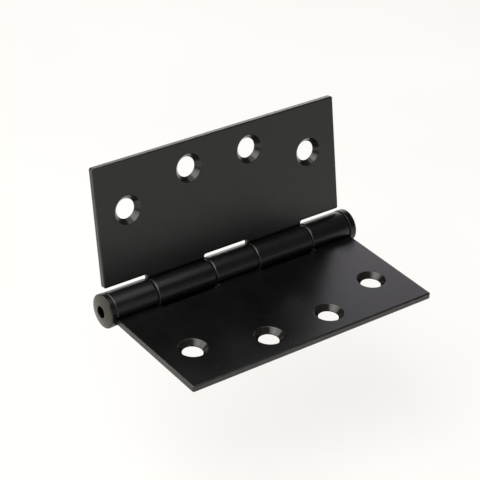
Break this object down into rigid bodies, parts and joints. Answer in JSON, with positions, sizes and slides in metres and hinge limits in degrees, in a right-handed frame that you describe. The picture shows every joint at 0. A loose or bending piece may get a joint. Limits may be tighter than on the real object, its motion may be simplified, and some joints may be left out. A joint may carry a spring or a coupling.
{
  "type": "door hinge",
  "caption": "Full-mortise butt hinge with square corners, staggered countersunk screw holes, rolled knuckles and a loose pin, in satin black.",
  "frame": {"origin": "on the pin's axis, halfway along the hinge", "axes": "+X along the pin towards its head, which is the top of the hinge on a door; the frame leaf lies flat and runs to -Y with its countersunk face up, +Z"},
  "size_m": [0.108, 0.0633, 0.0558],
  "materials": {
    "frame_leaf_coat": "satin black powder coat",
    "door_leaf_coat": "satin black powder coat",
    "pin_coat": "satin black",
    "tip_coat": "satin black"
  },
  "bodies": {
    "frame_side": {"frame_leaf": "frame_leaf_coat", "bottom_tip": "tip_coat"},
    "door_side": {"door_leaf": "door_leaf_coat"},
    "loose_pin": {"hinge_pin": "pin_coat"}
  },
  "joints": [
    {"name": "leaf_swing", "type": "hinge", "parent": "frame_side", "child": "door_side", "pos_m": [0, 0, 0], "axis": [-1, 0, 0], "range_deg": [-101, 199]},
    {"name": "pin_pull", "type": "slide", "parent": "frame_side", "child": "loose_pin", "axis": [1, 0, 0], "range_m": [0, 0.096]}
  ]
}
